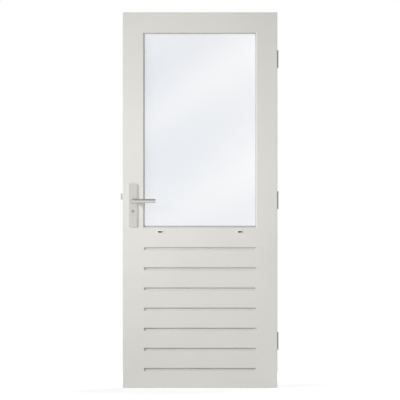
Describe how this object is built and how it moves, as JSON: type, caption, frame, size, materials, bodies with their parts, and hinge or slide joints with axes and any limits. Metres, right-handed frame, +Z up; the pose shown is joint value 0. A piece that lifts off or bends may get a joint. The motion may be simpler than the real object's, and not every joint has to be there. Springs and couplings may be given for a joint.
{
  "type": "balcony door",
  "caption": "Painted wooden balcony door leaf with insulating glass above a horizontally grooved panel, lever handles, a mortise lock and butt hinges.",
  "frame": {"origin": "middle of the leaf's foot, halfway through its thickness", "axes": "+X from the lock edge to the hinge edge, +Y from the outside face to the inside face, +Z up"},
  "size_m": [0.8495, 0.175, 2.015],
  "materials": {
    "painted_wood": "satin pale grey paint on wood",
    "glass": "clear float glass",
    "edge_seal": "matt black",
    "spacer": "satin",
    "gasket": "matt grey",
    "packer": "matt black",
    "drain_plastic": "matt pale grey",
    "handle_metal": "satin anodised",
    "bush_plastic": "matt grey",
    "steel": "zinc plated",
    "lock_steel": "zinc plated",
    "forend_steel": "brushed",
    "bolt_steel": "nickel plated",
    "cylinder_metal": "satin nickel plated",
    "hinge_steel": "brushed",
    "bearing_steel": "plain"
  },
  "bodies": {
    "frame_hinges": {"hinge_bottom_frame_flap": "hinge_steel", "hinge_bottom_pin": "hinge_steel", "hinge_middle_frame_flap": "hinge_steel", "hinge_middle_pin": "hinge_steel", "hinge_top_frame_flap": "hinge_steel", "hinge_top_pin": "hinge_steel", "hinge_bearings": "bearing_steel"},
    "leaf": {"lock_stile": "painted_wood", "hinge_stile": "painted_wood", "top_rail": "painted_wood", "mid_rail": "painted_wood", "bottom_rail": "painted_wood", "lower_panel": "painted_wood", "bead_bottom": "painted_wood", "bead_right": "painted_wood", "bead_top": "painted_wood", "bead_left": "painted_wood", "outer_pane": "glass", "inner_pane": "glass", "edge_seal": "edge_seal", "spacer_bar": "spacer", "outer_gasket": "gasket", "inner_gasket": "gasket", "setting_blocks": "packer", "drain_inserts": "drain_plastic", "outside_plate": "handle_metal", "inside_plate": "handle_metal", "outside_bush": "bush_plastic", "inside_bush": "bush_plastic", "plate_bolts": "steel", "lock_case": "lock_steel", "lock_cover": "lock_steel", "forend": "forend_steel", "cylinder_body": "cylinder_metal", "cylinder_screw": "steel", "hinge_bottom_leaf_flap": "hinge_steel", "hinge_middle_leaf_flap": "hinge_steel", "hinge_top_leaf_flap": "hinge_steel"},
    "lever_set": {"outside_lever": "handle_metal", "inside_lever": "handle_metal", "spindle": "steel", "grub_screws": "steel", "follower": "lock_steel"},
    "latch": {"latch_bolt": "bolt_steel"},
    "cylinder_core": {"outer_plug": "cylinder_metal", "inner_plug": "cylinder_metal", "cam": "steel"},
    "bolt": {"deadbolt": "bolt_steel"}
  },
  "joints": [
    {"name": "leaf_swing", "type": "hinge", "parent": "frame_hinges", "child": "leaf", "pos_m": [0.4165, 0.035, 1.0075], "axis": [0, 0, -1], "range_deg": [0, 110]},
    {"name": "lever_turn", "type": "hinge", "parent": "leaf", "child": "lever_set", "pos_m": [-0.36, 0, 1.0025], "axis": [0, 1, 0], "range_deg": [0, 36], "stiffness_Nm_per_rad": 2.5, "springref_deg": -22.92},
    {"name": "latch_slide", "type": "slide", "parent": "leaf", "child": "latch", "axis": [1, 0, 0], "range_m": [0, 0.0115]},
    {"name": "cylinder_turn", "type": "hinge", "parent": "leaf", "child": "cylinder_core", "pos_m": [-0.36, 0, 0.9475], "axis": [0, 1, 0], "range_deg": [0, 360]},
    {"name": "deadbolt_slide", "type": "slide", "parent": "leaf", "child": "bolt", "axis": [-1, 0, 0], "range_m": [0, 0.02]}
  ],
  "couplings": [
    {"joint": "latch_slide", "follows": "lever_turn", "m_per_rad": 0.018},
    {"joint": "cylinder_turn", "follows": "deadbolt_slide", "rad_per_m": 314}
  ]
}
